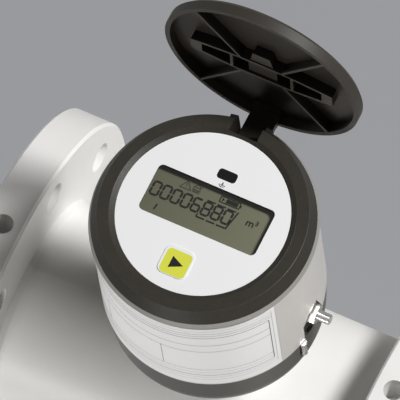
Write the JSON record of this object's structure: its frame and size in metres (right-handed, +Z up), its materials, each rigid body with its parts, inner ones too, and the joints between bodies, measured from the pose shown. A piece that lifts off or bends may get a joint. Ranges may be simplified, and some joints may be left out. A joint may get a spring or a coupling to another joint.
{
  "type": "electromagnetic flow meter",
  "caption": "Flanged pipe flow meter with a round converter head on a neck, a display with a key under a hinged ribbed lid, and a side stud.",
  "frame": {"origin": "on the flow axis, midway between the two flange faces", "axes": "+X along the pipe towards the right flange as the display is read, +Y from the display's lower edge towards the lid's hinge, +Z up from the pipe to the head"},
  "size_m": [0.266, 0.22, 0.4511],
  "materials": {
    "liner": "satin",
    "stainless": "brushed",
    "paint_white": "satin",
    "soft_iron": "plain",
    "copper": "enamelled wire",
    "dark_plastic": "fine grain",
    "rubber": "matte",
    "shell": "satin",
    "label": "satin foil",
    "cell": "sleeve",
    "inner_plastic": "plain",
    "board": "solder mask",
    "lcd": "glass",
    "window": "clear",
    "black_plastic": "gloss",
    "key": "satin",
    "lip": "satin",
    "lid_plastic": "satin"
  },
  "bodies": {
    "meter": {"liner": "liner", "liner_face_left": "liner", "liner_face_right": "liner", "measuring_tube": "stainless", "flange_left": "paint_white", "flange_right": "paint_white", "sensor_housing": "paint_white", "pole_top": "soft_iron", "pole_bottom": "soft_iron", "coil_top": "copper", "coil_bottom": "copper", "return_yoke": "soft_iron", "electrodes": "stainless", "electrode_nuts": "stainless", "reference_electrode": "stainless", "neck": "stainless", "pot_base": "dark_plastic", "base_gasket": "rubber", "base_screws": "stainless", "earth_stud": "stainless", "earth_washer": "stainless", "earth_nut": "stainless", "pot_shell": "shell", "nameplate": "label", "battery_cells": "cell", "chassis": "inner_plastic", "main_board": "board", "terminal_block": "inner_plastic", "lcd_module": "lcd", "front_plate": "inner_plastic", "display_window": "window", "label_plate": "label", "ir_window": "black_plastic", "lip_ring": "lip", "bezel_ring": "dark_plastic", "hinge_pin": "stainless"},
    "lid": {"lid": "lid_plastic"},
    "key": {"key_pad": "key"}
  },
  "joints": [
    {"name": "lid_hinge", "type": "hinge", "parent": "meter", "child": "lid", "pos_m": [0.0137, 0.051, 0.2344], "axis": [1, 0, 0], "range_deg": [0, 94]},
    {"name": "key_press", "type": "slide", "parent": "meter", "child": "key", "axis": [0, 0, 1], "range_m": [-0.0006, 0], "stiffness_N_per_m": 900}
  ]
}
